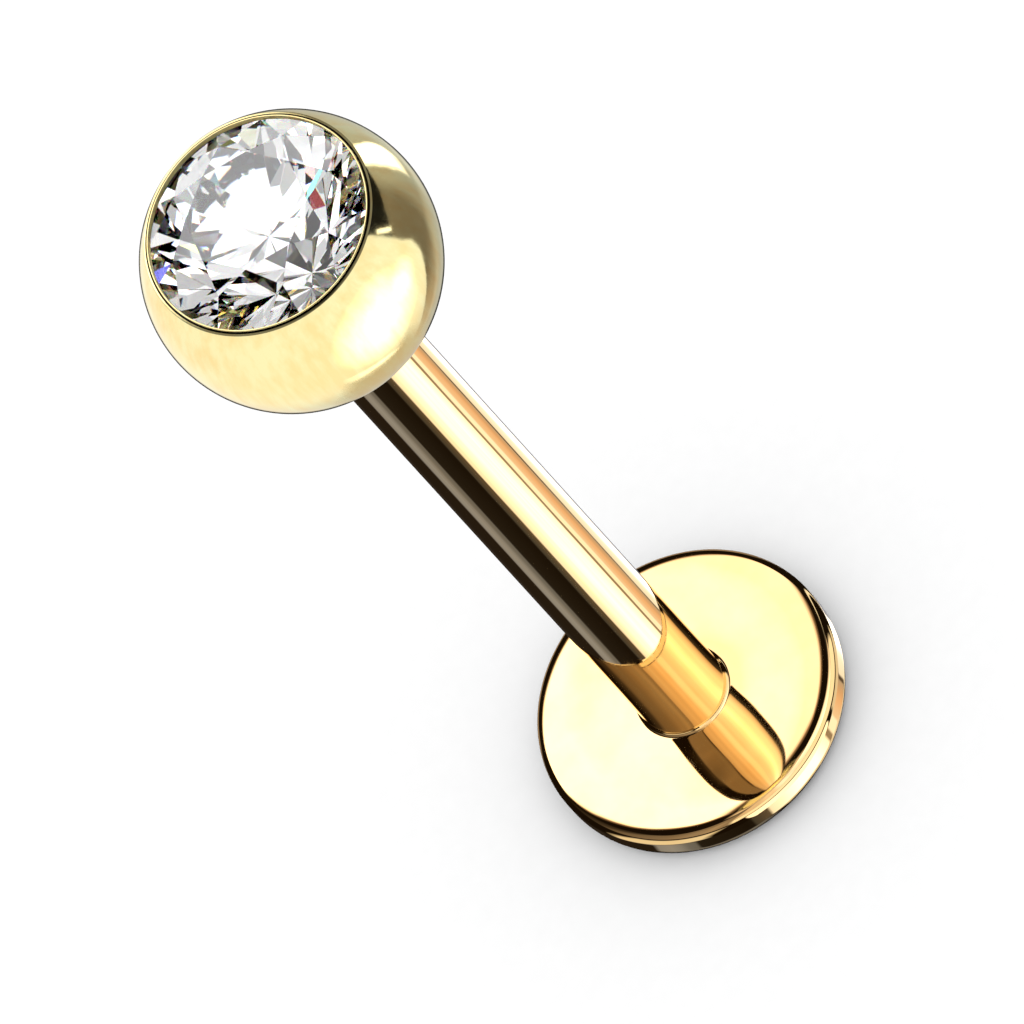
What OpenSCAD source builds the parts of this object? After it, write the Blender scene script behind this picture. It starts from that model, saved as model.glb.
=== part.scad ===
// Labret stud: a flat disc and a round post in one soldered piece, and a ball, set with
// a round brilliant crystal, that goes on the pin at the post's end. The stud stands on
// the back of its disc: the origin is the middle of that back, and +Z runs up the post.

/* [Disc] */
// Diameter of the disc
disc_d = 4.31; // [3.4:0.01:6]
// Thickness of the disc at the foot of the post
disc_t = 0.66; // [0.55:0.01:1.2]
// Slope of the disc's face, which falls away from the post, in degrees
face_slope = 1.7; // [0.5:0.1:3]
// Radius of the gentle round that the face ends in
face_round_r = 4.6; // [3:0.1:6]
// Slope at which that round meets the rounding of the edge, in degrees
edge_slope = 8; // [5:0.5:12]
// Radius of the rounding between the face and the rim
face_edge_r = 0.14; // [0.05:0.01:0.2]
// Radius of the rounding between the rim and the back
back_edge_r = 0.25; // [0.05:0.01:0.3]

/* [Post] */
// Diameter of the post
post_d = 1.27; // [1.1:0.01:1.6]
// Length that is worn, from the disc's face to the shoulder under the ball
worn_length = 12; // [5:0.5:16]
// Radius of the solder fillet round the foot of the post
foot_r = 0.06; // [0.03:0.01:0.2]

/* [Pin] */
// Diameter of the plain pin at the post's end
pin_d = 0.9; // [0.6:0.01:1]
// Chamfer on the end of the pin
pin_chamfer = 0.08; // [0.03:0.01:0.15]
// Metal left in the ball between its bore and the seat of the crystal
bore_wall = 0.2; // [0.1:0.01:0.4]

/* [Ball] */
// Diameter of the ball
ball_d = 4; // [3.8:0.05:6]
// Width of the flat rim round the crystal
rim_w = 0.08; // [0.07:0.01:0.12]
// Radius of the bead that is rolled up along the inside of the rim
bead_r = 0.03; // [0.01:0.005:0.035]
// Height of the rim above the widest part of the crystal
rim_h = 0.09; // [0.07:0.01:0.2]
// How far the rim reaches in over the edge of the crystal
rim_reach = 0.03; // [0.02:0.005:0.06]

/* [Crystal] */
// Diameter of the crystal at its girdle
crystal_d = 3.12; // [2.4:0.01:3.3]
// Thickness of the girdle
girdle_t = 0.1; // [0.08:0.01:0.2]
// Diameter of the table, from corner to corner
table_d = 1.72; // [1:0.01:2]
// Slope of the main crown facets, in degrees
crown_angle = 36; // [28:1:42]
// Slope of the main pavilion facets, in degrees
pavilion_angle = 43; // [38:1:45]
// Length of the star facets, as a share of the way from the table's edge to the girdle
star_share = 0.5; // [0.35:0.01:0.65]
// Length of the lower girdle facets, as a share of the way from the girdle to the culet
lower_share = 0.77; // [0.6:0.01:0.9]
// Turn of the crystal in its setting, in degrees
crystal_turn = 8; // [0:1:44]

/* [Gaps] */
// Gap between the ball and the shoulder of the post
shoulder_gap = 0.02; // [0.01:0.005:0.05]
// Gap between the pin and the wall and end of its bore
pin_gap = 0.03; // [0.02:0.005:0.05]
// Gap between the crystal and its setting
crystal_gap = 0.02; // [0.015:0.005:0.03]

/* [Hidden] */
$fn = 96;

disc_r = disc_d / 2;
post_r = post_d / 2;
pin_r = pin_d / 2;
ball_r = ball_d / 2;
crystal_r = crystal_d / 2;
table_r = table_d / 2;

// Where the gentle round of the disc's face starts and ends, the middle of that round, and
// the height of the middle of the edge's rounding
face_start_r = disc_r - face_edge_r - (face_round_r - face_edge_r) * sin(edge_slope)
    + face_round_r * sin(face_slope);
face_start_z = disc_t - (face_start_r - post_r) * tan(face_slope);
face_mid_r = face_start_r - face_round_r * sin(face_slope);
face_mid_z = face_start_z - face_round_r * cos(face_slope);
face_end_r = face_mid_r + face_round_r * sin(edge_slope);
face_end_z = face_mid_z + face_round_r * cos(edge_slope);
disc_edge_z = face_end_z - face_edge_r * cos(edge_slope);

// Heights inside the ball, measured from its middle
opening_r = crystal_r - rim_reach;
rim_z = sqrt(pow(ball_r, 2) - pow(opening_r + rim_w, 2));
girdle_z = rim_z - rim_h;
keel_z = girdle_z - girdle_t;
culet_z = keel_z - crystal_r * tan(pavilion_angle);
flat_z = -sqrt(pow(ball_r, 2) - pow(post_r, 2));

// Tips of the star facets and of the lower girdle facets, measured from the axis
facet_step = 45;
half_step = facet_step / 2;
table_flat_r = table_r * cos(half_step);
star_tip_r = table_flat_r + star_share * (crystal_r - table_flat_r);
lower_tip_r = (1 - lower_share) * crystal_r;

// The seat's cone clears the ridges between the pavilion's main facets
seat_slope = tan(pavilion_angle) * cos(half_step);
seat_r = crystal_r + crystal_gap;
seat_tip_z = culet_z - crystal_gap / cos(atan(seat_slope));
bore_r = pin_r + pin_gap;
bore_end_z = seat_tip_z - bore_wall;

// Heights of the whole stud, measured from the back of the disc
shoulder_z = disc_t + worn_length;
ball_z = shoulder_z + shoulder_gap - flat_z;
pin_end_z = ball_z + bore_end_z - pin_gap;

// Half of the disc's outline: its face slopes, curves gently and turns over the edge
module disc_section() {
    polygon([
        [0, 0],
        [disc_r - back_edge_r, 0],
        [disc_r, back_edge_r],
        [disc_r, disc_edge_z],
        [face_end_r, face_end_z],
        [face_start_r, face_start_z],
        [0, disc_t + post_r * tan(face_slope)],
    ]);
    intersection() {
        translate([face_mid_r, face_mid_z]) circle(r = face_round_r);
        translate([face_start_r, back_edge_r])
            square([face_end_r - face_start_r, disc_t - back_edge_r]);
    }
    translate([disc_r - back_edge_r, back_edge_r]) circle(r = back_edge_r);
    translate([disc_r - face_edge_r, disc_edge_z]) circle(r = face_edge_r);
}

// The solder between the post and the disc's face, which it meets without a corner
module fillet_section() {
    fillet_z = disc_t + foot_r * (1 / cos(face_slope) - tan(face_slope));
    touch_r = post_r + foot_r * (1 - sin(face_slope));
    difference() {
        polygon([
            [0, disc_t - foot_r],
            [touch_r, disc_t - foot_r],
            [touch_r, fillet_z - foot_r * cos(face_slope)],
            [post_r, fillet_z],
            [0, fillet_z],
        ]);
        translate([post_r + foot_r, fillet_z]) circle(r = foot_r);
    }
}

module pin_section() {
    polygon([
        [0, shoulder_z],
        [pin_r, shoulder_z],
        [pin_r, pin_end_z - pin_chamfer],
        [pin_r - pin_chamfer, pin_end_z],
        [0, pin_end_z],
    ]);
}

module labret_post() {
    color("goldenrod")
        rotate_extrude() {
            disc_section();
            fillet_section();
            square([post_r, shoulder_z]);
            pin_section();
        }
}

// The hollow for the crystal: the opening inside the rim, the room under the rim, the
// cone below the girdle
module setting_section() {
    rim_underside_z = girdle_z + rim_reach * tan(crown_angle) + crystal_gap;
    polygon([
        [0, seat_tip_z],
        [seat_r, seat_tip_z + seat_r * seat_slope],
        [seat_r, rim_underside_z],
        [opening_r, rim_underside_z],
        [opening_r, ball_r],
        [0, ball_r],
    ]);
}

// Half of the ball's outline, cut flat for the rim and for the shoulder of the post
module ball_section() {
    difference() {
        union() {
            intersection() {
                circle(r = ball_r);
                translate([0, flat_z]) square([ball_r, rim_z - flat_z]);
            }
            translate([opening_r + bead_r, rim_z]) circle(r = bead_r);
        }
        setting_section();
        translate([0, -ball_r]) square([bore_r, ball_r + bore_end_z]);
    }
}

module ball() {
    color("khaki") translate([0, 0, ball_z]) rotate_extrude() ball_section();
}

// Round brilliant cut. Its main facets lie on slopes that fall towards eight sides, and
// every point between two main facets is found on one of those slopes.
function on_circle(r, angle, z) = [r * cos(angle), r * sin(angle), z];
function crown_z(r) = girdle_z + (crystal_r - r * cos(half_step)) * tan(crown_angle);
function pavilion_z(r) = culet_z + r * cos(half_step) * tan(pavilion_angle);

// Height at which the girdle facet through a tip and two points of the girdle leaves the
// round of the stone, part of the way from one point to the other
girdle_steps = 4;
chord_r = crystal_r * cos(half_step / 2);
function bulge(step) =
    crystal_r * cos(half_step * (step / girdle_steps - 0.5)) - chord_r;
function girdle_slope(tip_r, tip_z, edge_z) =
    (tip_z - edge_z) / (chord_r - tip_r * cos(half_step / 2));
function girdle_edge(tip_r, tip_z, edge_z) = [
    for (k = [0 : 360 / half_step * girdle_steps - 1])
        on_circle(crystal_r, k * half_step / girdle_steps,
            edge_z - bulge(k % girdle_steps) * girdle_slope(tip_r, tip_z, edge_z))
];

module crystal() {
    mains = 360 / facet_step;
    around = 2 * mains * girdle_steps;
    half = 2 * girdle_steps;

    table_corners = [for (k = [0 : mains - 1])
        on_circle(table_r, k * facet_step, girdle_z + (crystal_r - table_r) * tan(crown_angle))];
    star_tips = [for (k = [0 : mains - 1])
        on_circle(star_tip_r, (k + 0.5) * facet_step, crown_z(star_tip_r))];
    top_edge = girdle_edge(star_tip_r, crown_z(star_tip_r), girdle_z);
    low_edge = girdle_edge(lower_tip_r, pavilion_z(lower_tip_r), keel_z);
    lower_tips = [for (k = [0 : mains - 1])
        on_circle(lower_tip_r, (k + 0.5) * facet_step, pavilion_z(lower_tip_r))];
    points = concat(table_corners, star_tips, top_edge, low_edge, lower_tips, [[0, 0, culet_z]]);

    // Where each ring of points starts in the list, and the points of a ring in turn
    star = mains;
    top = 2 * mains;
    low = top + around;
    tip = low + around;
    culet = tip + mains;
    function corner(k) = (k + mains) % mains;
    function edge(first, k) = first + (k + around) % around;

    table = [[for (k = [mains - 1 : -1 : 0]) k]];
    stars = [for (k = [0 : mains - 1]) [star + k, k, corner(k + 1)]];
    kites = [for (k = [0 : mains - 1])
        [k, star + k, edge(top, k * half), star + corner(k - 1)]];
    upper_girdle = [for (k = [0 : mains - 1], side = [0, 1])
        concat([star + k], [for (n = [girdle_steps : -1 : 0])
            edge(top, k * half + side * girdle_steps + n)])];
    girdle = [for (k = [0 : around - 1])
        [edge(top, k), edge(top, k + 1), edge(low, k + 1), edge(low, k)]];
    lower_girdle = [for (k = [0 : mains - 1], side = [0, 1])
        concat([tip + k], [for (n = [0 : girdle_steps])
            edge(low, k * half + side * girdle_steps + n)])];
    pavilion = [for (k = [0 : mains - 1])
        [culet, tip + corner(k - 1), edge(low, k * half), tip + k]];

    color("aliceblue")
        translate([0, 0, ball_z])
            rotate([0, 0, crystal_turn])
            polyhedron(points = points, faces = concat(
                table, stars, kites, upper_girdle, girdle, lower_girdle, pavilion));
}

labret_post();
ball();
crystal();
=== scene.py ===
import math

import bpy
from mathutils import Matrix, Vector


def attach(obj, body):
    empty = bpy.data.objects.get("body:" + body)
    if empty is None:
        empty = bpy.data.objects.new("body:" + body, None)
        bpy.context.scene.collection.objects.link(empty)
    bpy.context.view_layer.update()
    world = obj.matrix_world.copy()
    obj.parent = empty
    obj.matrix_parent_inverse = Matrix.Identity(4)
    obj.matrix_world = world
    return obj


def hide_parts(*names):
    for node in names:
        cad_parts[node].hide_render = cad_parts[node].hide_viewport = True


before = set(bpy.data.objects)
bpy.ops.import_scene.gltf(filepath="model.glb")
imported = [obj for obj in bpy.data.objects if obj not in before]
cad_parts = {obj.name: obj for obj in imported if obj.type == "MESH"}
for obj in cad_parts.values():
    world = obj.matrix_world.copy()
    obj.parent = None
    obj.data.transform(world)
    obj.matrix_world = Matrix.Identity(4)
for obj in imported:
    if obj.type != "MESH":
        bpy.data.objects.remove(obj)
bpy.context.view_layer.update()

# A labret stud in gold-plated steel. It stands on its disc, and the camera looks down
# past the ball, rolled so that the post leans across the picture.

MM = 0.001

# Sizes in millimetres, the same as the frame's pieces have
DISC_R, DISC_T = 2.155, 0.66
FACE_EDGE_R, BACK_EDGE_R = 0.14, 0.25
POST_R, FOOT_R = 0.635, 0.06
SHOULDER_Z = DISC_T + 12
PIN_R, PIN_CHAMFER = 0.45, 0.08
BALL_R, RIM_W, RIM_H, RIM_REACH = 2.0, 0.08, 0.09, 0.03
CRYSTAL_R, GIRDLE_T, TABLE_R = 1.56, 0.1, 0.86
CROWN_ANGLE, PAVILION_ANGLE = math.radians(36), math.radians(43)
STAR_SHARE, LOWER_SHARE = 0.5, 0.77
CRYSTAL_TURN = math.radians(8)
SECTORS = 8
SHOULDER_GAP, PIN_GAP, CRYSTAL_GAP, BORE_WALL = 0.02, 0.03, 0.02, 0.2

# The rim is finer here than the frame's: a thin lip, a groove outside it, and a ledge that
# falls outwards by some degrees
LIP_W, LIP_H, LIP_ROUND = 0.028, 0.028, 0.007
GROOVE_R, GROOVE_W, GROOVE_DEPTH, GROOVE_TAPER = 1.571, 0.024, 0.012, 0.004
LEDGE_FALL = 7

# The fall of the disc's face in degrees, all over and then more of it at the foot and at the
# edge, each with the radius where that is given and the length over which it dies away
FACE_FALL = 1.2
FOOT_FALL, FOOT_FALL_R, FOOT_FADE = 3.4, 0.7, 0.2
EDGE_FALL, EDGE_FALL_R, EDGE_FADE = 8.5, 2.0, 0.15

# Heights inside the ball, from its middle
OPENING_R = CRYSTAL_R - RIM_REACH
RIM_Z = math.sqrt(BALL_R**2 - (OPENING_R + RIM_W) ** 2)
GIRDLE_Z = RIM_Z - RIM_H
KEEL_Z = GIRDLE_Z - GIRDLE_T
CULET_Z = KEEL_Z - CRYSTAL_R * math.tan(PAVILION_ANGLE)
FLAT_Z = -math.sqrt(BALL_R**2 - POST_R**2)
HALF_STEP = math.pi / SECTORS
SEAT_SLOPE = math.tan(PAVILION_ANGLE) * math.cos(HALF_STEP)
SEAT_R = CRYSTAL_R + CRYSTAL_GAP
SEAT_TIP_Z = CULET_Z - CRYSTAL_GAP / math.cos(math.atan(SEAT_SLOPE))
BORE_END_Z = SEAT_TIP_Z - BORE_WALL

# Heights of the whole stud
BALL_Z = SHOULDER_Z + SHOULDER_GAP - FLAT_Z
PIN_END_Z = BALL_Z + BORE_END_Z - PIN_GAP


def linear(hex_colour):
    """The linear red, green, blue and alpha of an sRGB hex value."""
    parts = [int(hex_colour[i : i + 2], 16) / 255 for i in (1, 3, 5)]
    return (*[c / 12.92 if c <= 0.04045 else ((c + 0.055) / 1.055) ** 2.4 for c in parts], 1.0)


def add(tree, kind, inputs=None, **settings):
    """Adds a node, sets its settings, and gives each input a value, or links it to a socket or
    to a node's first output."""
    made = tree.nodes.new(kind)
    for name, value in settings.items():
        setattr(made, name, value)
    for socket, value in (inputs or {}).items():
        if isinstance(value, bpy.types.Node):
            value = value.outputs[0]
        if isinstance(value, bpy.types.NodeSocket):
            tree.links.new(value, made.inputs[socket])
        else:
            made.inputs[socket].default_value = value
    return made


def new_material(name):
    """An empty material with its output node."""
    material = bpy.data.materials.new(name)
    material.use_nodes = True
    material.node_tree.nodes.clear()
    return material, material.node_tree, material.node_tree.nodes.new("ShaderNodeOutputMaterial")


# Materials

# How far each finish rises and falls, in metres
SWELL_RELIEF, LINE_RELIEF, MARK_RELIEF = 2.5e-6, 3e-7, 8e-7

# Where the finishes change, in millimetres: the length over which the foot's becomes the
# post's, how deep the ball's skin is, how far the seat's goes above the girdle, how far below
# the rim the groove's ends, where the wall inside the rim ends, and how soft those edges are
FOOT_BLEND, SKIN, SEAT_RISE, GROOVE_TOP, WALL_EDGE, SOFT = 0.1, 0.07, 0.03, 0.001, 0.002, 0.005

# The heights from the ball's middle where its buffing marks end and where they are in full
MARKS_END_Z, MARKS_FULL_Z = -1.2, -0.2

IOR_RED, IOR_GREEN, IOR_BLUE = 2.156, 2.17, 2.186


def in_mm(tree, height=0.0):
    """A point of the piece in millimetres, measured from a height on the stud's axis."""
    place = add(tree, "ShaderNodeTexCoord")
    return add(tree, "ShaderNodeVectorMath", {
        0: place.outputs["Object"], 1: (1 / MM, 1 / MM, 1 / MM), 2: (0, 0, -height)},
        operation="MULTIPLY_ADD")


def soft_random(tree, point, per_mm, detail):
    """Soft random values, with so many of them to the millimetre along x, y and z."""
    scaled = add(tree, "ShaderNodeVectorMath", {0: point, 1: per_mm}, operation="MULTIPLY")
    return add(tree, "ShaderNodeTexNoise", {"Vector": scaled, "Scale": 1.0, "Detail": detail})


def two_tones(tree, value, low, high, first, second):
    """One colour where a value is low, another where it is high, and a blend between."""
    share = add(tree, "ShaderNodeMapRange", {0: value, 1: low, 2: high})
    return add(tree, "ShaderNodeMix", {
        0: share, 6: linear(first), 7: linear(second)}, data_type="RGBA").outputs[2]


def polished_gold():
    """Gold-plated steel, polished to a mirror: the post keeps faint lines along it from the
    cloth, 0.04 mm apart, and the disc a faint cloudiness in patches of about 0.6 mm."""
    material, tree, out = new_material("polished_gold_plate")
    point = in_mm(tree)
    height = add(tree, "ShaderNodeSeparateXYZ", {0: point}).outputs["Z"]
    foot_top = DISC_T + FOOT_R
    on_post = add(tree, "ShaderNodeMapRange", {0: height, 1: foot_top, 2: foot_top + FOOT_BLEND})
    lines = soft_random(tree, point, (25, 25, 0.25), 2)
    clouds = soft_random(tree, point, (1.7, 1.7, 1.7), 4)
    swells = soft_random(tree, point, (1.7, 1.7, 1.7), 0.5)
    wear = add(tree, "ShaderNodeMix", {0: on_post, 2: clouds, 3: lines}, data_type="FLOAT")
    swelling = add(tree, "ShaderNodeMath", {0: swells, 1: SWELL_RELIEF}, operation="MULTIPLY")
    lining = add(tree, "ShaderNodeMath", {0: lines, 1: LINE_RELIEF}, operation="MULTIPLY")
    relief = add(tree, "ShaderNodeMix", {0: on_post, 2: swelling, 3: lining}, data_type="FLOAT")
    metal = add(tree, "ShaderNodeBsdfPrincipled", {
        "Base Color": two_tones(tree, wear, 0.35, 0.65, "#ffdc9e", "#ffe1a8"),
        "Metallic": 1.0,
        "Roughness": add(tree, "ShaderNodeMapRange", {0: wear, 1: 0.4, 2: 0.7, 3: 0.02, 4: 0.06}),
        "Normal": add(tree, "ShaderNodeBump", {
            "Strength": 1.0, "Distance": 1.0, "Height": relief})})
    tree.links.new(metal.outputs[0], out.inputs[0])
    return material


def buffed_gold():
    """Gold-plated steel, buffed on a wheel: paler and softer than the post, with faint marks
    0.14 mm apart that run from the crystal down and end above the post, and patches of 0.9 mm.
    The inside of the rim is satin. The seat under the crystal and the groove in the rim are dull,
    and painted dark as painted shade, so that the stone shows black facets over the seat."""
    material, tree, out = new_material("buffed_gold_plate")
    point = in_mm(tree, BALL_Z)
    height = add(tree, "ShaderNodeSeparateXYZ", {0: point}).outputs["Z"]
    marks = soft_random(tree, point, (7, 7, 1.4), 3)
    patches = soft_random(tree, point, (1.1, 1.1, 1.1), 3)
    wear = add(tree, "ShaderNodeMix", {0: 0.45, 2: marks, 3: patches}, data_type="FLOAT")
    depth = add(tree, "ShaderNodeMapRange", {
        0: height, 1: MARKS_END_Z, 2: MARKS_FULL_Z, 3: 0, 4: MARK_RELIEF})
    relief = add(tree, "ShaderNodeMath", {0: marks, 1: depth}, operation="MULTIPLY")

    # The seat lies under the ball's skin, and not far above the crystal's girdle
    from_middle = add(tree, "ShaderNodeVectorMath", {0: point}, operation="LENGTH")
    under_skin = add(tree, "ShaderNodeMapRange", {
        0: from_middle.outputs["Value"], 1: BALL_R - SKIN - SOFT, 2: BALL_R - SKIN + SOFT,
        3: 1, 4: 0})
    below_rim = add(tree, "ShaderNodeMapRange", {
        0: height, 1: GIRDLE_Z + SEAT_RISE, 2: GIRDLE_Z + SEAT_RISE + SOFT, 3: 1, 4: 0})
    in_seat = add(tree, "ShaderNodeMath", {0: under_skin, 1: below_rim}, operation="MULTIPLY")

    # The groove and the inside of the rim go by the distance from the axis
    flat = add(tree, "ShaderNodeVectorMath", {0: point, 1: (1, 1, 0)}, operation="MULTIPLY")
    from_axis = add(tree, "ShaderNodeVectorMath", {0: flat}, operation="LENGTH").outputs["Value"]
    across_groove = add(tree, "ShaderNodeMath", {
        0: from_axis, 1: GROOVE_R, 2: GROOVE_W / 2}, operation="COMPARE")
    up_groove = add(tree, "ShaderNodeMath", {
        0: height, 1: RIM_Z - GROOVE_DEPTH, 2: GROOVE_DEPTH - GROOVE_TOP}, operation="COMPARE")
    in_groove = add(tree, "ShaderNodeMath", {
        0: across_groove, 1: up_groove}, operation="MULTIPLY")
    inside = add(tree, "ShaderNodeMapRange", {
        0: from_axis, 1: OPENING_R + WALL_EDGE, 2: OPENING_R + SOFT, 3: 1, 4: 0})

    # Painted shade: the seat under the crystal and the groove in the rim, which lie in shade, are
    # marked here to be coloured dark.
    painted_shade_mask = add(tree, "ShaderNodeMath", {0: in_seat, 1: in_groove}, operation="MAXIMUM")
    dull = add(tree, "ShaderNodeMath", {0: painted_shade_mask, 1: inside}, operation="MAXIMUM")
    gold = two_tones(tree, wear, 0.4, 0.6, "#ffe5a0", "#fff3b6")
    # Painted shade: where the seat and the groove are marked, a near-black brown takes the place
    # of the gold.
    colour = add(tree, "ShaderNodeMix", {
        0: painted_shade_mask, 6: gold, 7: linear("#231d14")}, data_type="RGBA")
    sheen = add(tree, "ShaderNodeMapRange", {0: wear, 1: 0.4, 2: 0.65, 3: 0.05, 4: 0.12})
    metal = add(tree, "ShaderNodeBsdfPrincipled", {
        "Base Color": colour.outputs[2],
        "Metallic": 1.0,
        "Roughness": add(tree, "ShaderNodeMix", {0: dull, 2: sheen, 3: 0.5}, data_type="FLOAT"),
        "Normal": add(tree, "ShaderNodeBump", {
            "Strength": 1.0, "Distance": 1.0, "Height": relief})})
    tree.links.new(metal.outputs[0], out.inputs[0])
    return material


def cubic_zirconia():
    """Cubic zirconia, cut and polished: clear, with the fire of its dispersion. A reddish, a
    greenish and a bluish share part where a ray first enters, and then go one way through the
    stone, so that the facets stay crisp. The polish is a trace uneven every 0.17 mm, and the
    clear body every 0.7 mm."""
    material, tree, out = new_material("cubic_zirconia")
    point = in_mm(tree)
    clouding = soft_random(tree, point, (1.5, 1.5, 1.5), 2)
    swirls = soft_random(tree, point, (6, 6, 6), 2)
    polish = add(tree, "ShaderNodeMapRange", {0: swirls, 1: 0.45, 2: 0.65, 3: 0.0, 4: 0.004})
    reds, greens, blues, whole = [
        add(tree, "ShaderNodeBsdfGlass", {
            "Color": two_tones(tree, clouding, 0.4, 0.6, clear, clouded),
            "IOR": ior, "Roughness": polish})
        for ior, clear, clouded in (
            (IOR_RED, "#d57272", "#d37171"), (IOR_GREEN, "#72d572", "#71d371"),
            (IOR_BLUE, "#7272d5", "#7171d3"), (IOR_GREEN, "#ffffff", "#fdfdfd"))]
    reds_greens = add(tree, "ShaderNodeAddShader", {0: reds, 1: greens})
    fire = add(tree, "ShaderNodeAddShader", {0: reds_greens, 1: blues})
    first = add(tree, "ShaderNodeLightPath").outputs["Is Camera Ray"]
    both = add(tree, "ShaderNodeMixShader", {0: first, 1: whole, 2: fire})
    tree.links.new(both.outputs[0], out.inputs[0])
    return material


# Geometry Nodes


def new_tree(name, inputs):
    """A Geometry Nodes tree with named inputs, and its group input and output nodes."""
    tree = bpy.data.node_groups.new(name, "GeometryNodeTree")
    tree.interface.new_socket("Geometry", in_out="INPUT", socket_type="NodeSocketGeometry")
    for label, kind in inputs:
        tree.interface.new_socket(label, in_out="INPUT", socket_type=kind)
    tree.interface.new_socket("Geometry", in_out="OUTPUT", socket_type="NodeSocketGeometry")
    return tree, tree.nodes.new("NodeGroupInput"), tree.nodes.new("NodeGroupOutput")


def lathe_tree():
    """Turns an outline of points, x out from the axis and z up it, into a round piece."""
    tree, given, result = new_tree("lathe", [
        ("Steps around", "NodeSocketInt"), ("Merge distance", "NodeSocketFloat"),
        ("Finish", "NodeSocketMaterial")])
    outline, steps = given.outputs["Geometry"], given.outputs["Steps around"]
    size = add(tree, "GeometryNodeAttributeDomainSize", {"Geometry": outline}, component="MESH")
    row = add(tree, "ShaderNodeMath", {0: steps, 1: 1.0}, operation="ADD")
    grid = add(tree, "GeometryNodeMeshGrid", {
        "Vertices X": size.outputs["Point Count"], "Vertices Y": row})
    index = add(tree, "GeometryNodeInputIndex")
    ratio = add(tree, "ShaderNodeMath", {0: index, 1: row}, operation="DIVIDE")
    ring = add(tree, "ShaderNodeMath", {0: ratio}, operation="FLOOR")
    turned = add(tree, "ShaderNodeMath", {0: index, 1: row}, operation="MODULO")
    share = add(tree, "ShaderNodeMath", {0: turned, 1: steps}, operation="DIVIDE")
    angle = add(tree, "ShaderNodeMath", {0: share, 1: 2 * math.pi}, operation="MULTIPLY")
    place = add(tree, "GeometryNodeInputPosition")
    point = add(tree, "GeometryNodeSampleIndex", {
        "Geometry": outline, "Value": place, "Index": ring},
        data_type="FLOAT_VECTOR", domain="POINT")
    swung = add(tree, "ShaderNodeVectorRotate", {
        "Vector": point.outputs["Value"], "Angle": angle}, rotation_type="Z_AXIS")
    body = add(tree, "GeometryNodeSetPosition", {"Geometry": grid, "Position": swung})
    closed = add(tree, "GeometryNodeMergeByDistance", {
        "Geometry": body, "Distance": given.outputs["Merge distance"]})
    smooth = add(tree, "GeometryNodeSetShadeSmooth", {"Geometry": closed})
    real = add(tree, "GeometryNodeRealizeInstances", {"Geometry": smooth})
    made = add(tree, "GeometryNodeSetMaterial", {
        "Geometry": real, "Material": given.outputs["Finish"]})
    tree.links.new(made.outputs[0], result.inputs[0])
    return tree


def repeat_tree():
    """Repeats a sector round the z axis and joins the copies."""
    tree, given, result = new_tree("repeat_round", [
        ("Copies", "NodeSocketInt"), ("Merge distance", "NodeSocketFloat"),
        ("Finish", "NodeSocketMaterial")])
    copies = given.outputs["Copies"]
    points = add(tree, "GeometryNodePoints", {"Count": copies})
    index = add(tree, "GeometryNodeInputIndex")
    share = add(tree, "ShaderNodeMath", {0: index, 1: copies}, operation="DIVIDE")
    angle = add(tree, "ShaderNodeMath", {0: share, 1: 2 * math.pi}, operation="MULTIPLY")
    turn = add(tree, "ShaderNodeCombineXYZ", {"Z": angle})
    ring = add(tree, "GeometryNodeInstanceOnPoints", {
        "Points": points, "Instance": given.outputs["Geometry"], "Rotation": turn})
    real = add(tree, "GeometryNodeRealizeInstances", {"Geometry": ring})
    closed = add(tree, "GeometryNodeMergeByDistance", {
        "Geometry": real, "Distance": given.outputs["Merge distance"]})
    made = add(tree, "GeometryNodeSetMaterial", {
        "Geometry": closed, "Material": given.outputs["Finish"]})
    tree.links.new(made.outputs[0], result.inputs[0])
    return tree


def new_object(name, points, edges, faces, finish=None):
    """An object in the scene with a mesh of these points, edges and faces."""
    mesh = bpy.data.meshes.new(name)
    mesh.from_pydata(points, edges, faces)
    if finish:
        mesh.materials.append(finish)
    made = bpy.data.objects.new(name, mesh)
    bpy.context.scene.collection.objects.link(made)
    return made


def grown(name, points, edges, faces, tree, settings):
    """Runs a tree on a start mesh, and returns the result as an object with a plain mesh."""
    piece = new_object(name, points, edges, faces)
    piece.data.name = name + "_start"
    nodes = piece.modifiers.new("grow", "NODES")
    nodes.node_group = tree
    for socket in tree.interface.items_tree:
        if socket.in_out == "INPUT" and socket.name in settings:
            nodes[socket.identifier] = settings[socket.name]
    plain = bpy.data.meshes.new_from_object(
        piece.evaluated_get(bpy.context.evaluated_depsgraph_get()))
    piece.modifiers.clear()
    piece.data = plain
    plain.name = name
    return piece


# Outlines

SOFT_EDGE = 0.012
RING_INSET = 0.012
FACE_STEP = 0.02
DISC_EDGE_STEPS, FOOT_STEPS, SOFT_EDGE_STEPS, BALL_STEPS, LIP_STEPS = 32, 20, 6, 180, 8
STEPS_AROUND = 384
MERGE_M = 1e-8
SHARP_ANGLE = math.radians(35)


def arc(x, z, r, start, end, steps):
    """Points on a circle about (x, z), between two angles in degrees from the x axis."""
    angles = [math.radians(start + (end - start) * i / steps) for i in range(steps + 1)]
    return [(x + r * math.cos(a), z + r * math.sin(a)) for a in angles]


def with_rings(outline):
    """Adds a point close to each end of a long straight stretch, so that its shading stays
    flat. The first and the last stretch only need the one that is off the axis."""
    points = [outline[0]]
    for (x0, z0), (x1, z1) in zip(outline, outline[1:]):
        length = math.hypot(x1 - x0, z1 - z0)
        if length > 4 * RING_INSET:
            for share in (RING_INSET / length, 1 - RING_INSET / length):
                points.append((x0 + (x1 - x0) * share, z0 + (z1 - z0) * share))
        points.append((x1, z1))
    return [points[0], *points[2:-2], points[-1]]


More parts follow.
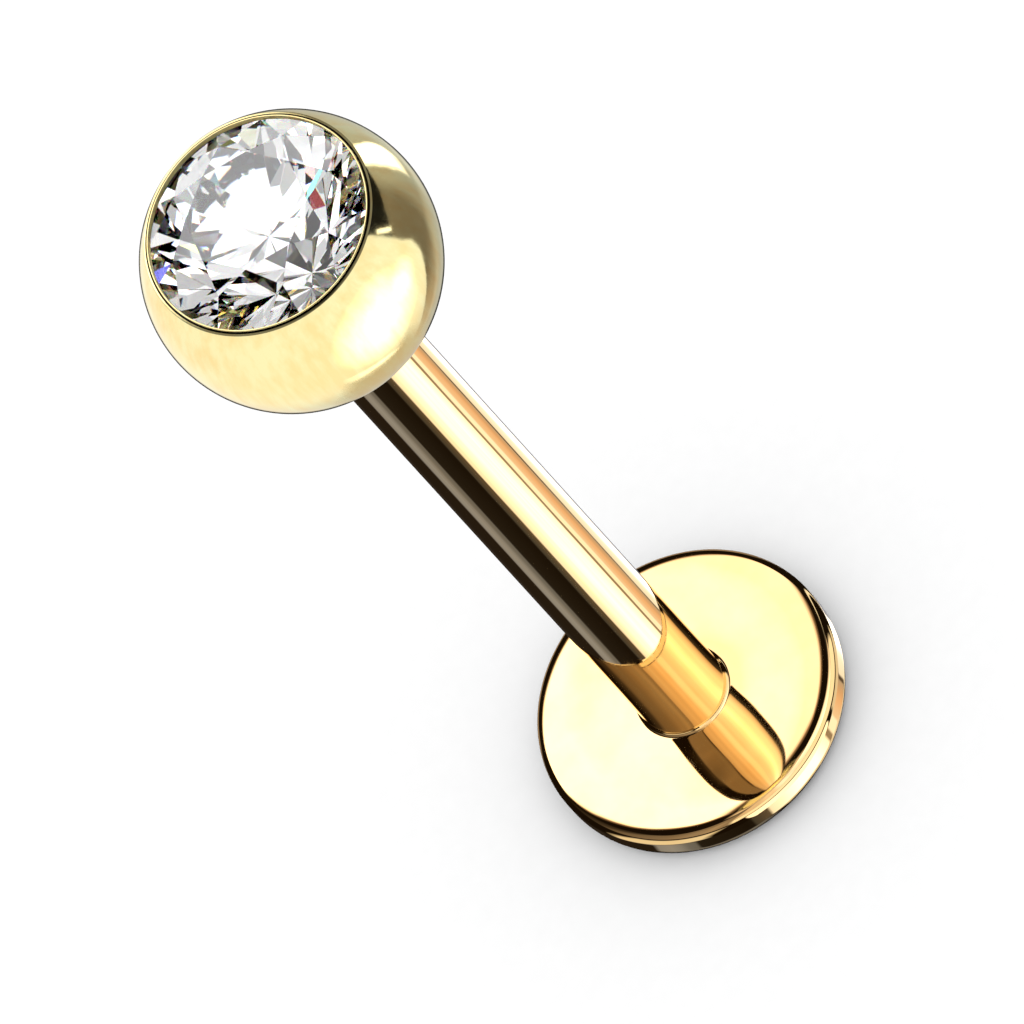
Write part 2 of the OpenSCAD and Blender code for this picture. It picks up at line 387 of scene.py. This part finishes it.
def turned_piece(name, outline, finish, tree):
    """A round piece, from its outline in millimetres."""
    points = [(x * MM, 0.0, z * MM) for x, z in outline]
    edges = [(i, i + 1) for i in range(len(points) - 1)]
    piece = grown(name, points, edges, [], tree, {
        "Steps around": STEPS_AROUND, "Merge distance": MERGE_M, "Finish": finish})
    piece.data.set_sharp_from_angle(angle=SHARP_ANGLE)
    return piece


def face_slope(r):
    """The fall of the disc's face in degrees: it sweeps down from the foot, runs almost flat
    and curves over ever faster towards the edge."""
    return (FACE_FALL + FOOT_FALL * math.exp((FOOT_FALL_R - r) / FOOT_FADE)
        + EDGE_FALL * math.exp((r - EDGE_FALL_R) / EDGE_FADE))


def post_outline():
    """The disc, the fillet at the foot, the post and the pin, from the disc's back up. The
    face runs out from the fillet in short steps, until it meets the round of the edge."""
    foot_slope = face_slope(POST_R + FOOT_R)
    tilt = math.radians(foot_slope)
    r, z = POST_R + FOOT_R * (1 - math.sin(tilt)), DISC_T
    fillet_z = z + FOOT_R * math.cos(tilt)
    face = [(r, z)]
    while r < DISC_R - FACE_EDGE_R * (1 - math.sin(math.radians(face_slope(r)))):
        z -= FACE_STEP * math.tan(math.radians(face_slope(r + FACE_STEP / 2)))
        r += FACE_STEP
        face.append((r, z))
    end_slope = math.degrees(math.asin((r - DISC_R + FACE_EDGE_R) / FACE_EDGE_R))
    edge_z = z - FACE_EDGE_R * math.cos(math.radians(end_slope))
    points = [(0.0, 0.0)]
    points += arc(DISC_R - BACK_EDGE_R, BACK_EDGE_R, BACK_EDGE_R, -90, 0, DISC_EDGE_STEPS)
    points += arc(DISC_R - FACE_EDGE_R, edge_z, FACE_EDGE_R, 0, 90 - end_slope, DISC_EDGE_STEPS)
    points += face[-2:0:-1]
    points += arc(POST_R + FOOT_R, fillet_z, FOOT_R, 270 - foot_slope, 180, FOOT_STEPS)
    points += arc(POST_R - SOFT_EDGE, SHOULDER_Z - SOFT_EDGE, SOFT_EDGE, 0, 90, SOFT_EDGE_STEPS)
    points += [
        (PIN_R, SHOULDER_Z), (PIN_R, PIN_END_Z - PIN_CHAMFER),
        (PIN_R - PIN_CHAMFER, PIN_END_Z), (0.0, PIN_END_Z)]
    return with_rings(points)


def ball_outline():
    """The bore, the flat under the ball, its round, the ledge of the rim, the groove, the
    fine lip round the crystal and the seat."""
    bore_r = PIN_R + PIN_GAP
    low = math.degrees(math.asin(FLAT_Z / BALL_R))
    ledge_r = math.sqrt((BALL_R - SOFT_EDGE) ** 2 - (RIM_Z - SOFT_EDGE) ** 2)
    high = math.degrees(math.atan2(RIM_Z - SOFT_EDGE, ledge_r))
    points = [(0.0, BORE_END_Z), (bore_r, BORE_END_Z), (bore_r, FLAT_Z)]
    points += arc(0, 0, BALL_R, low, high, BALL_STEPS)[:-1]
    points += arc(
        ledge_r, RIM_Z - SOFT_EDGE, SOFT_EDGE, high, 90 - LEDGE_FALL, SOFT_EDGE_STEPS)
    groove_z = RIM_Z - GROOVE_DEPTH
    groove_in, groove_out = GROOVE_R - GROOVE_W / 2, GROOVE_R + GROOVE_W / 2
    rise = (points[-1][0] - groove_out) * math.tan(math.radians(LEDGE_FALL))
    points += [
        (groove_out, points[-1][1] + rise), (groove_out - GROOVE_TAPER, groove_z),
        (groove_in + GROOVE_TAPER, groove_z)]
    lip_z = RIM_Z + LIP_H - LIP_ROUND
    points += arc(OPENING_R + LIP_W - LIP_ROUND, lip_z, LIP_ROUND, 0, 90, LIP_STEPS)
    points += arc(OPENING_R + LIP_ROUND, lip_z, LIP_ROUND, 90, 180, LIP_STEPS)
    underside = GIRDLE_Z + RIM_REACH * math.tan(CROWN_ANGLE) + CRYSTAL_GAP
    points += [
        (OPENING_R, underside), (SEAT_R, underside),
        (SEAT_R, SEAT_TIP_Z + SEAT_R * SEAT_SLOPE), (0.0, SEAT_TIP_Z)]
    return [(x, z + BALL_Z) for x, z in with_rings(points)]


# The round brilliant

GIRDLE_STEPS = 6


def crystal_sector():
    """One sector of the stone: its points in millimetres and its facets, faces outwards."""
    def at(r, turn, z):
        return (r * math.cos(turn), r * math.sin(turn), z)

    def on_crown(r):
        return GIRDLE_Z + (CRYSTAL_R - r * math.cos(HALF_STEP)) * math.tan(CROWN_ANGLE)

    def on_pavilion(r):
        return CULET_Z + r * math.cos(HALF_STEP) * math.tan(PAVILION_ANGLE)

    chord = CRYSTAL_R * math.cos(HALF_STEP / 2)

    def girdle(k, edge_z, tip_r, tip_z):
        """A point of the girdle's edge, on the flat facet that starts at a tip."""
        share = k % GIRDLE_STEPS / GIRDLE_STEPS
        proud = CRYSTAL_R * math.cos(HALF_STEP * (share - 0.5)) - chord
        slope = (tip_z - edge_z) / (chord - tip_r * math.cos(HALF_STEP / 2))
        return at(CRYSTAL_R, HALF_STEP * k / GIRDLE_STEPS, edge_z - proud * slope)

    table_flat = TABLE_R * math.cos(HALF_STEP)
    star_r = table_flat + STAR_SHARE * (CRYSTAL_R - table_flat)
    lower_r = (1 - LOWER_SHARE) * CRYSTAL_R
    star_z, lower_z = on_crown(star_r), on_pavilion(lower_r)
    table_z = GIRDLE_Z + (CRYSTAL_R - TABLE_R) * math.tan(CROWN_ANGLE)

    points = [
        (0, 0, table_z), at(TABLE_R, 0, table_z), at(TABLE_R, 2 * HALF_STEP, table_z),
        at(star_r, -HALF_STEP, star_z), at(star_r, HALF_STEP, star_z),
        at(lower_r, -HALF_STEP, lower_z), at(lower_r, HALF_STEP, lower_z), (0, 0, CULET_Z)]
    middle, corner, next_corner, last_star, star, last_lower, lower, culet = range(8)
    top = len(points)
    count = 2 * GIRDLE_STEPS + 1
    points += [girdle(k, GIRDLE_Z, star_r, star_z) for k in range(count)]
    low = top + count
    points += [girdle(k, KEEL_Z, lower_r, lower_z) for k in range(count)]

    facets = [
        [middle, corner, next_corner], [corner, star, next_corner],
        [corner, last_star, top, star], [culet, lower, low, last_lower]]
    for first in (0, GIRDLE_STEPS):
        reach = range(first, first + GIRDLE_STEPS + 1)
        facets.append([star] + [top + k for k in reach])
        facets.append([lower] + [low + k for k in reversed(reach)])
    facets += [[top + k, low + k, low + k + 1, top + k + 1] for k in range(count - 1)]
    return points, facets


def crystal_piece(finish, tree):
    """The whole stone, from its sectors."""
    points, facets = crystal_sector()
    c, s = math.cos(CRYSTAL_TURN) * MM, math.sin(CRYSTAL_TURN) * MM
    placed = [(x * c - y * s, x * s + y * c, (z + BALL_Z) * MM) for x, y, z in points]
    return grown("brilliant", placed, [], facets, tree, {
        "Copies": SECTORS, "Merge distance": MERGE_M, "Finish": finish})


# Studio

# The camera, from the photograph: how far the post leans from the line of sight and from
# the picture's upright in degrees, the lens, and in millimetres how far off it is and where
# it aims, which set how much of the stud the picture takes in
VIEW_ELEVATION, VIEW_ROLL = 56.6, 42.26
LENS, SENSOR, CAMERA_DISTANCE = 1500.0, 36.0, 564.3
AIM = Vector((-0.0733, 0.0, 6.653))

# The lights hang so far off in metres, each a little behind the one before it
LIGHT_DISTANCE, LIGHT_STEP = 2.0, 0.01
LIGHTS = []

# How finely the lights are divided
BELT_STEPS, BELT_ROWS, SHEET_STEPS, WINDOW_STEPS, RING_STEPS, FADE_RINGS = 48, 12, 8, 24, 48, 8

WHITE, CREAM, WARM, PEACH, COOL = "#ffffff", "#fff8ec", "#ffe9d6", "#ffd3b0", "#dde6ff"


def direction(azimuth, elevation):
    """A unit vector: azimuth 0 is the camera's side and 90 is +X, both angles in degrees."""
    a, e = math.radians(azimuth), math.radians(elevation)
    return Vector((math.sin(a) * math.cos(e), -math.cos(a) * math.cos(e), math.sin(e)))


def softbox_front():
    """A softbox's front: it shines with the brightness at each point, and lets light by."""
    material, tree, out = new_material("softbox_front")
    level = add(tree, "ShaderNodeAttribute", attribute_name="glow", attribute_type="GEOMETRY")
    shine = add(tree, "ShaderNodeEmission", {"Color": level.outputs["Color"], "Strength": 1.0})
    clear = add(tree, "ShaderNodeBsdfTransparent")
    both = add(tree, "ShaderNodeAddShader", {0: shine, 1: clear})
    tree.links.new(both.outputs[0], out.inputs[0])
    material.cycles.emission_sampling = "NONE"
    return material


def black_net():
    """A black net in front of the softboxes: it holds back light by the cover at each point."""
    material, tree, out = new_material("black_net")
    level = add(tree, "ShaderNodeAttribute", attribute_name="glow", attribute_type="GEOMETRY")
    gap = add(tree, "ShaderNodeMix", {
        0: 1.0, 6: linear(WHITE), 7: level.outputs["Color"]},
        data_type="RGBA", blend_type="SUBTRACT")
    clear = add(tree, "ShaderNodeBsdfTransparent", {"Color": gap.outputs[2]})
    tree.links.new(clear.outputs[0], out.inputs[0])
    return material


def hang(name, lit, front, rays, faces, glow):
    """Hangs a softbox or a net far off, where it serves one piece alone. Each hangs a little
    behind the last, so a net dims the lights that are hung after it."""
    away = LIGHT_DISTANCE + LIGHT_STEP * len(LIGHTS)
    box = new_object(name, [ray * away for ray in rays], [], faces, front)
    level = box.data.color_attributes.new("glow", "FLOAT_COLOR", "POINT")
    for point, colour in zip(level.data, glow):
        point.color = (*colour, 1.0)
    box.visible_camera = box.visible_diffuse = box.visible_shadow = False
    box.light_linking.receiver_collection = lit
    LIGHTS.append(box)


def grid_faces(across, up):
    """The faces of a grid of points that runs across first and then up."""
    return [
        (j * across + i, j * across + i + 1, (j + 1) * across + i + 1, (j + 1) * across + i)
        for j in range(up - 1) for i in range(across - 1)]


def part_way(first, second, share):
    """The numbers that lie a share of the way from the first ones to the second ones."""
    return [p + (q - p) * share for p, q in zip(first, second)]


def between(stops, value):
    """The light at a value, from stops of (value, strength, colour) in rising order."""
    before = ([stop for stop in stops if stop[0] <= value] or stops[:1])[-1]
    after = ([stop for stop in stops if stop[0] >= value] or stops[-1:])[0]
    share = (value - before[0]) / (after[0] - before[0]) if after[0] > before[0] else 0.0
    first, second = ([stop[1] * c for c in linear(stop[2])[:3]] for stop in (before, after))
    return part_way(first, second, share)


def belt(name, lit, front, low, high, fade, stops):
    """A curved softbox between two elevations, with its light given in stops round the
    horizon. It fades at its lower and upper edge."""
    first, last = stops[0][0], stops[-1][0]
    across = sorted({stop[0] for stop in stops} | {
        first + (last - first) * i / BELT_STEPS for i in range(BELT_STEPS + 1)})
    up = sorted({low, low + fade, high - fade, high} | {
        low + (high - low) * i / BELT_ROWS for i in range(BELT_ROWS + 1)})
    rays, glow = [], []
    for elevation in up:
        share = min(1.0, (elevation - low) / fade, (high - elevation) / fade)
        for azimuth in across:
            rays.append(direction(azimuth, elevation))
            glow.append([c * share for c in between(stops, azimuth)])
    hang(name, lit, front, rays, grid_faces(len(across), len(up)), glow)


def sheet(name, lit, front, rows, colour):
    """A curved softbox given row by row, from the lowest up. A row is an elevation, and then
    an azimuth and the strength there for each of its stops; every row has as many stops."""
    tint = linear(colour)[:3]
    spans_up, spans_across = len(rows) - 1, len(rows[0]) - 2
    count_up, count_across = spans_up * SHEET_STEPS + 1, spans_across * SHEET_STEPS + 1
    rays, glow = [], []
    for j in range(count_up):
        below = min(j // SHEET_STEPS, spans_up - 1)
        up = j / SHEET_STEPS - below
        (low, *low_stops), (high, *high_stops) = rows[below : below + 2]
        stops = [part_way(a, b, up) for a, b in zip(low_stops, high_stops)]
        for i in range(count_across):
            left = min(i // SHEET_STEPS, spans_across - 1)
            azimuth, strength = part_way(*stops[left : left + 2], i / SHEET_STEPS - left)
            rays.append(direction(azimuth, low + (high - low) * up))
            glow.append([strength * c for c in tint])
    hang(name, lit, front, rays, grid_faces(count_across, count_up), glow)


def window(name, lit, front, corners, fade, strength, colour):
    """A softbox with the same light all over and four corners, each an azimuth and an
    elevation: low left, low right, high left and high right. Its edges fade over a share of
    its size."""
    tint = linear(colour)[:3]
    marks = sorted({i / WINDOW_STEPS for i in range(WINDOW_STEPS + 1)} | {fade, 1 - fade})
    rays, glow = [], []
    for v in marks:
        left, right = part_way(corners[0], corners[2], v), part_way(corners[1], corners[3], v)
        for u in marks:
            rays.append(direction(*part_way(left, right, u)))
            edge = min(1.0, u / fade, v / fade, (1 - u) / fade, (1 - v) / fade) if fade else 1.0
            glow.append([strength * edge * c for c in tint])
    hang(name, lit, front, rays, grid_faces(len(marks), len(marks)), glow)


def upright(azimuths, elevations):
    """The corners of a window between two azimuths and two elevations."""
    return [(azimuth, elevation) for elevation in elevations for azimuth in azimuths]


def round_box(name, lit, front, azimuth, elevation, radius, fade, strength, colour):
    """A round softbox about one direction. It fades towards its edge, over some degrees."""
    tint = linear(colour)[:3]
    turn = direction(azimuth, elevation).to_track_quat("Z", "Y")
    full = radius - fade
    slants = [full / 2] + [full + fade * i / FADE_RINGS for i in range(FADE_RINGS + 1)]
    rays, glow = [turn @ Vector((0, 0, 1))], [[strength * c for c in tint]]
    for slant in slants:
        share = min(1.0, (radius - slant) / fade)
        for k in range(RING_STEPS):
            rays.append(turn @ direction(360 * k / RING_STEPS, 90 - slant))
            glow.append([strength * share * c for c in tint])
    faces = [(0, 1 + k, 1 + (k + 1) % RING_STEPS) for k in range(RING_STEPS)]
    for j in range(len(slants) - 1):
        a, b = 1 + j * RING_STEPS, 1 + (j + 1) * RING_STEPS
        faces += [
            (a + k, b + k, b + (k + 1) % RING_STEPS, a + (k + 1) % RING_STEPS)
            for k in range(RING_STEPS)]
    hang(name, lit, front, rays, faces, glow)


# The stripes along the post. Each row is an azimuth, a strength and a colour.
POST_STRIPES = [
    (-180, 0.02, WARM), (-146, 0.02, WARM), (-143, 0.01, WARM), (-103, 0.01, WARM),
    (-99, 0.36, COOL), (-89, 0.4, COOL), (-82, 0.33, COOL), (-76, 0.21, COOL),
    (-70, 0.19, COOL), (-67.5, 0.01, WHITE), (-30, 0.003, WHITE), (-26, 0.005, WHITE),
    (-24, 0.05, WHITE), (-12, 0.11, WARM), (-9.5, 1.1, WHITE), (0, 1.35, WHITE),
    (8, 1.8, WHITE), (19, 2.35, WHITE), (40, 2.35, WHITE), (48, 1.9, WHITE),
    (54.5, 1.5, WHITE), (57, 0.35, WARM), (60.5, 0.35, WARM), (62.5, 1.2, WHITE),
    (71, 1.2, WHITE), (73, 0.95, WARM), (86, 0.9, PEACH), (92, 0.75, PEACH),
    (99.5, 0.55, WARM), (101, 0.1, WARM), (103, 0.1, WARM), (105, 1.0, WHITE),
    (118, 1.15, WHITE), (122, 1.3, WHITE), (130, 2.6, WHITE), (150, 2.6, WHITE),
    (156, 0.5, COOL), (180, 0.3, COOL)]

# The light on the post's foot, which comes by way of the disc
FOOT_DARK_SIDE = [
    (-128, 0.0, WARM), (-107, 0.05, WARM), (-103, 0.10, WARM), (-96, 0.17, WARM),
    (-86, 0.19, WARM), (-76, 0.21, WARM), (-68, 0.25, WARM), (-59, 0.31, WARM),
    (-51, 0.32, WARM), (-44, 0.40, WARM), (-36, 0.29, WARM), (-33, 0.30, WARM),
    (-32, 0.0, WARM)]
FOOT_LIGHT_SIDE = [
    (-33, 0.0, WARM), (-32, 0.62, WARM), (-29, 0.70, WARM), (-21, 0.83, WARM),
    (-14, 0.79, WARM), (-7, 1.02, WARM), (0, 1.0, WARM), (7, 1.22, WHITE), (14, 1.26, WHITE),
    (21, 1.05, WHITE), (29, 1.15, WHITE), (36, 1.26, WHITE), (44, 1.55, WHITE),
    (51, 1.80, WHITE), (59, 2.0, WHITE), (68, 1.72, WHITE), (76, 1.43, WHITE),
    (86, 1.42, WHITE), (96, 1.08, WHITE), (106, 0.8, WARM), (111, 0.04, WHITE),
    (128, 0.0, WHITE)]


def light_post(lit, front):
    """Lights that the disc and the post mirror."""
    round_box("post_room", lit, front, 0, 90, 179, 1, 0.009, "#ffcf9a")
    belt("post_stripes", lit, front, -63, -50, 4, POST_STRIPES)
    belt("foot_dark_side", lit, front, 18, 61, 4, FOOT_DARK_SIDE)
    window("foot_dark_high", lit, front, ((-96, 59), (-32.5, 59), (-64, 73), (-32.5, 77)), 0.1,
        0.24, WARM)
    belt("foot_light_side", lit, front, 40, 79, 2, FOOT_LIGHT_SIDE)
    window("face_light", lit, front, ((134, 38), (226, 38), (158, 70), (204, 75)), 0.1,
        1.12, WHITE)
    window("face_light_left", lit, front, ((168, 38), (226, 38), (174, 71.7), (204, 75)), 0.12,
        0.4, WHITE)
    window("face_light_far_left", lit, front, ((180, 38), (226, 38), (184, 72.8), (204, 75)),
        0.12, 0.4, WHITE)
    window("face_halo", lit, front, ((131, 36.5), (229, 36.5), (155, 72), (207, 77)), 0.1,
        0.5, PEACH)
    window("front", lit, front, ((-33, 16), (98, -6), (-34, 40), (101, 40)), 0.03, 1.15, CREAM)
    window("left_low", lit, front, ((-116, -50), (-50, -51), (-86, 12), (-31, 10)), 0.12,
        0.85, CREAM)
    window("right_low", lit, front, ((-20, -53), (57, -53), (-22, 10), (50, -9)), 0.02,
        1.6, WHITE)
    window("right_side", lit, front, ((64, -53), (112, -53), (56, -12), (104, -14)), 0.06,
        0.8, CREAM)
    window("streak", lit, front, ((124, -50), (128, -50), (112, 50), (116, 50)), 0.2,
        1.0, WHITE)
    window("back_low", lit, front, upright((143, 217), (-46, -6)), 0.1, 0.32, WARM)
    round_box("overhead", lit, front, 0, 90, 12, 3, 0.8, WARM)
    window("under_left", lit, front, ((-116, -84), (-4, -84), (-116, -60), (-14, -60)), 0.1,
        0.2, COOL)
    window("under_right", lit, front, ((4, -80), (128, -80), (-12, -60), (128, -60)), 0.04,
        0.8, CREAM)


# The card under the ball: half its width, its near and far side on the y axis and how far it
# hangs below the ball's middle, in millimetres, and the shares over which its edges fade
CARD_HALF, CARD_NEAR, CARD_FAR, CARD_DROP = 1.0, -2.45, -1.5, 1.3
CARD_SIDE_FADE, CARD_NEAR_FADE = 0.2, 0.25
CARD_STEPS, CARD_GLOW = 16, 0.6


def card(lit):
    """A small pale card just under the ball, on the camera's side. The ball mirrors it there
    and not the post. It lets light by on its edges and from below."""
    material, tree, out = new_material("pale_card")
    cover = add(tree, "ShaderNodeAttribute", attribute_name="cover", attribute_type="GEOMETRY")
    side = add(tree, "ShaderNodeNewGeometry")
    share = add(tree, "ShaderNodeMath", {
        0: cover.outputs["Fac"], 1: side.outputs["Backfacing"]}, operation="SUBTRACT",
        use_clamp=True)
    shine = add(tree, "ShaderNodeEmission", {"Color": linear(CREAM), "Strength": CARD_GLOW})
    clear = add(tree, "ShaderNodeBsdfTransparent")
    both = add(tree, "ShaderNodeMixShader", {0: share, 1: clear, 2: shine})
    tree.links.new(both.outputs[0], out.inputs[0])
    material.cycles.emission_sampling = "NONE"
    marks = [i / CARD_STEPS for i in range(CARD_STEPS + 1)]
    points, covers = [], []
    for v in marks:
        for u in marks:
            x, y = (2 * u - 1) * CARD_HALF, CARD_NEAR + (CARD_FAR - CARD_NEAR) * v
            points.append((x * MM, y * MM, (BALL_Z - CARD_DROP) * MM))
            covers.append(
                min(1.0, u / CARD_SIDE_FADE, (1 - u) / CARD_SIDE_FADE, v / CARD_NEAR_FADE))
    pale = new_object("pale_card", points, [], grid_faces(len(marks), len(marks)), material)
    level = pale.data.attributes.new("cover", "FLOAT", "POINT")
    for point, value in zip(level.data, covers):
        point.value = value
    pale.visible_camera = pale.visible_diffuse = False
    pale.visible_transmission = pale.visible_shadow = False
    pale.light_linking.receiver_collection = lit


# The lights that fill most of the ball. Each row is an elevation, and then an azimuth and
# the strength there for each stop.
BALL_FRONT = [
    (-90, (-180, 0.60), (-100, 0.62), (20, 0.66), (64.0, 0.64), (65.5, 0)),
    (-80, (-180, 0.55), (-100, 0.66), (20, 0.88), (64.0, 0.72), (65.5, 0)),
    (-68, (-180, 0.80), (-100, 0.95), (20, 1.00), (64.5, 0.85), (66.0, 0)),
    (-60, (-180, 0.95), (-100, 1.00), (20, 1.05), (67.0, 0.95), (68.5, 0)),
    (-50, (-180, 1.00), (-100, 1.00), (20, 1.10), (70.0, 1.00), (71.5, 0)),
    (-40, (-180, 1.00), (-100, 1.00), (20, 1.10), (72.5, 1.05), (74.0, 0)),
    (-30, (-180, 1.00), (-100, 0.98), (20, 1.10), (70.5, 1.05), (72.0, 0)),
    (-20, (-180, 1.00), (-100, 0.98), (20, 1.10), (64.5, 1.05), (66.0, 0)),
    (10, (-180, 1.00), (-100, 1.00), (20, 1.05), (56.0, 1.00), (57.5, 0)),
    (22, (-180, 1.00), (-100, 1.00), (20, 1.05), (54.0, 1.00), (55.5, 0))]
BALL_SIDE = [
    (-90, (64.0, 0), (65.5, 0.62), (90, 0.60), (105, 0.40), (125, 0)),
    (-75, (64.0, 0), (65.5, 0.60), (90, 0.52), (105, 0.38), (125, 0)),
    (-65, (65.5, 0), (67.0, 0.42), (90, 0.40), (105, 0.32), (125, 0)),
    (-57, (68.0, 0), (69.5, 0.22), (90, 0.32), (105, 0.28), (125, 0)),
    (-50, (70.0, 0), (71.5, 0.15), (90, 0.22), (105, 0.22), (125, 0)),
    (-45, (71.0, 0), (72.5, 0.15), (90, 0.18), (105, 0.18), (125, 0)),
    (-35, (71.0, 0), (73.0, 0.16), (90, 0.18), (105, 0.18), (125, 0)),
    (-20, (64.5, 0), (66.0, 0.17), (90, 0.19), (102, 0.25), (120, 0)),
    (-11, (62.0, 0), (63.5, 0.19), (80, 0.20), (98, 0.25), (120, 0)),
    (-8, (68.0, 0), (70.0, 0.19), (80, 0.20), (98, 0.25), (120, 0)),
    (-5.5, (76.0, 0), (80.0, 0.19), (88, 0.20), (98, 0.25), (120, 0)),
    (-4.5, (76.0, 0), (80.0, 0), (88, 0), (98, 0), (120, 0))]
BALL_FAR_SIDE = [
    (-90, (90, 0), (125, 0.58), (140, 0.60), (180, 0.60)),
    (-57, (90, 0), (125, 0.50), (140, 0.55), (180, 0.45)),
    (-50, (92, 0), (125, 0.50), (140, 0.80), (180, 0.50)),
    (-45, (95, 0), (125, 0.42), (140, 0.60), (180, 0.50)),
    (-6, (90, 0), (115, 0.50), (140, 0.50), (180, 0.50)),
    (-4.5, (90, 0), (115, 0), (140, 0), (180, 0))]
BALL_STRIP = [
    (-45, (121, 0), (124, 0.0), (133, 0.0), (136, 0)),
    (-37, (117, 0), (120, 2.2), (131, 2.2), (133, 0)),
    (-30, (112, 0), (116, 2.4), (128, 2.4), (130, 0)),
    (-20, (108, 0), (112, 2.4), (123, 2.4), (125, 0)),
    (0, (104, 0), (108, 2.4), (116, 2.4), (118, 0))]


def light_ball(lit, front):
    """Lights that the ball mirrors. The net hangs before them all, just where the ball's
    outline mirrors it, and draws the thin dark line there."""
    round_box("ball_outline_net", lit, black_net(), 180, -VIEW_ELEVATION, 18, 5, 0.95, WHITE)
    round_box("ball_room", lit, front, 0, 90, 179, 1, 0.012, WHITE)
    sheet("ball_front", lit, front, BALL_FRONT, WHITE)
    sheet("ball_side", lit, front, BALL_SIDE, "#ffeede")
    sheet("ball_far_side", lit, front, BALL_FAR_SIDE, "#f6fbff")
    sheet("ball_strip", lit, front, BALL_STRIP, WHITE)
    round_box("ball_glow", lit, front, 16, -31, 34, 27, 1.7, WHITE)
    round_box("ball_second_glow", lit, front, 47, -30, 13, 10, 0.9, WHITE)
    window("ball_low_line", lit, front, ((-38, -66), (60, -80), (-34, -56), (45, -75)), 0.3,
        0.8, WHITE)
    window("ball_slit", lit, front, ((66, -9.5), (69, -9.5), (59.5, 3), (62.5, 3)), 0,
        2.0, WHITE)
    round_box("ball_rim_light", lit, front, 187, 45, 17, 6, 1.8, WHITE)
    window("ball_top", lit, front, upright((-180, 180), (26, 90)), 0.062, 0.2, WHITE)
    card(lit)


# The lights over the crystal. Each row is the azimuth where a light begins, and the strength
# of its low, middle and high part, which lie between these elevations.
CRYSTAL_PARTS = ((8, 25), (25, 42), (42, 60))
CRYSTAL_SPAN = 30
CRYSTAL_LIGHTS = [
    (20, 1.4, 0, 0), (50, 2.4, 0.8, 0.8), (80, 0, 0, 0.4), (110, 2.4, 0, 0.4),
    (140, 2.4, 0, 0), (170, 2.4, 0.4, 2.4), (200, 0.8, 2.4, 0), (230, 0, 0, 0),
    (260, 2.4, 0, 0.8), (290, 0, 0, 0), (320, 2.4, 0, 2.4), (350, 2.4, 0.8, 0.8)]


def light_crystal(lit, front):
    """Lights for the crystal: large white ones, with grey and dark between them."""
    for azimuth, *strengths in CRYSTAL_LIGHTS:
        for heights, strength in zip(CRYSTAL_PARTS, strengths):
            if strength:
                window("crystal_%d_%d" % (azimuth, heights[0]), lit, front,
                    upright((azimuth, azimuth + CRYSTAL_SPAN), heights), 0, strength, WHITE)
    window("crystal_top", lit, front, upright((-180, 180), (60, 90)), 0, 1.2, WHITE)


FLOOR_HALF = 1.0  # metres
SKY_STRENGTH = 1.25


def floor():
    """A pale matt floor under the stud, with a faint grain of 0.25 mm. The metal doesn't
    mirror it."""
    material, tree, out = new_material("white_paper")
    grain = soft_random(tree, in_mm(tree), (4, 4, 4), 3)
    paper = add(tree, "ShaderNodeBsdfDiffuse", {
        "Color": two_tones(tree, grain, 0, 1, "#ececec", "#f0f0f0")})
    tree.links.new(paper.outputs[0], out.inputs[0])
    sides = (-FLOOR_HALF, FLOOR_HALF)
    corners = [(x, y, 0) for y in sides for x in sides]
    plane = new_object("floor", corners, [], grid_faces(2, 2), material)
    plane.visible_glossy = plane.visible_transmission = False


def soft_sky():
    """Even white light all round, which falls on the floor. The metal doesn't mirror it."""
    world = bpy.data.worlds.new("studio")
    bpy.context.scene.world = world
    world.use_nodes = True
    shine = world.node_tree.nodes["Background"]
    shine.inputs["Color"].default_value = linear(WHITE)
    shine.inputs["Strength"].default_value = SKY_STRENGTH
    world.cycles_visibility.glossy = False
    world.cycles_visibility.transmission = False


def camera():
    """A long lens on the camera's side, looking down past the ball."""
    data = bpy.data.cameras.new("camera")
    data.lens = LENS
    data.sensor_width = SENSOR
    data.clip_start, data.clip_end = 0.1, 5.0
    eye = bpy.data.objects.new("camera", data)
    bpy.context.scene.collection.objects.link(eye)
    back = direction(0.0, VIEW_ELEVATION)
    eye.location = (AIM + back * CAMERA_DISTANCE) * MM
    eye.rotation_mode = "QUATERNION"
    eye.rotation_quaternion = (-back).to_track_quat("-Z", "Y") @ Matrix.Rotation(
        math.radians(-VIEW_ROLL), 3, "Z").to_quaternion()
    bpy.context.scene.camera = eye


def main():
    camera()
    floor()
    soft_sky()
    front = softbox_front()
    lathe, repeat = lathe_tree(), repeat_tree()
    for piece, body, node, slot, light in (
        (turned_piece("disc_and_post", post_outline(), polished_gold(), lathe),
            "post", "labret_post", "polished_gold_steel", light_post),
        (turned_piece("set_ball", ball_outline(), buffed_gold(), lathe),
            "ball", "ball", "buffed_gold_steel", light_ball),
        (crystal_piece(cubic_zirconia(), repeat),
            "ball", "crystal", "cubic_zirconia", light_crystal),
    ):
        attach(piece, body)
        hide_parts(node)
        lit = bpy.data.collections.new("lights_on_" + piece.name)
        lit.objects.link(piece)
        light(lit, front)
    scene = bpy.context.scene
    scene.cycles.max_bounces = 32
    scene.cycles.glossy_bounces = 16
    scene.cycles.transmission_bounces = 32
    scene.cycles.transparent_max_bounces = 64
    scene.cycles.caustics_reflective = False
    scene.cycles.caustics_refractive = False
    scene.view_settings.view_transform = "Standard"


main()
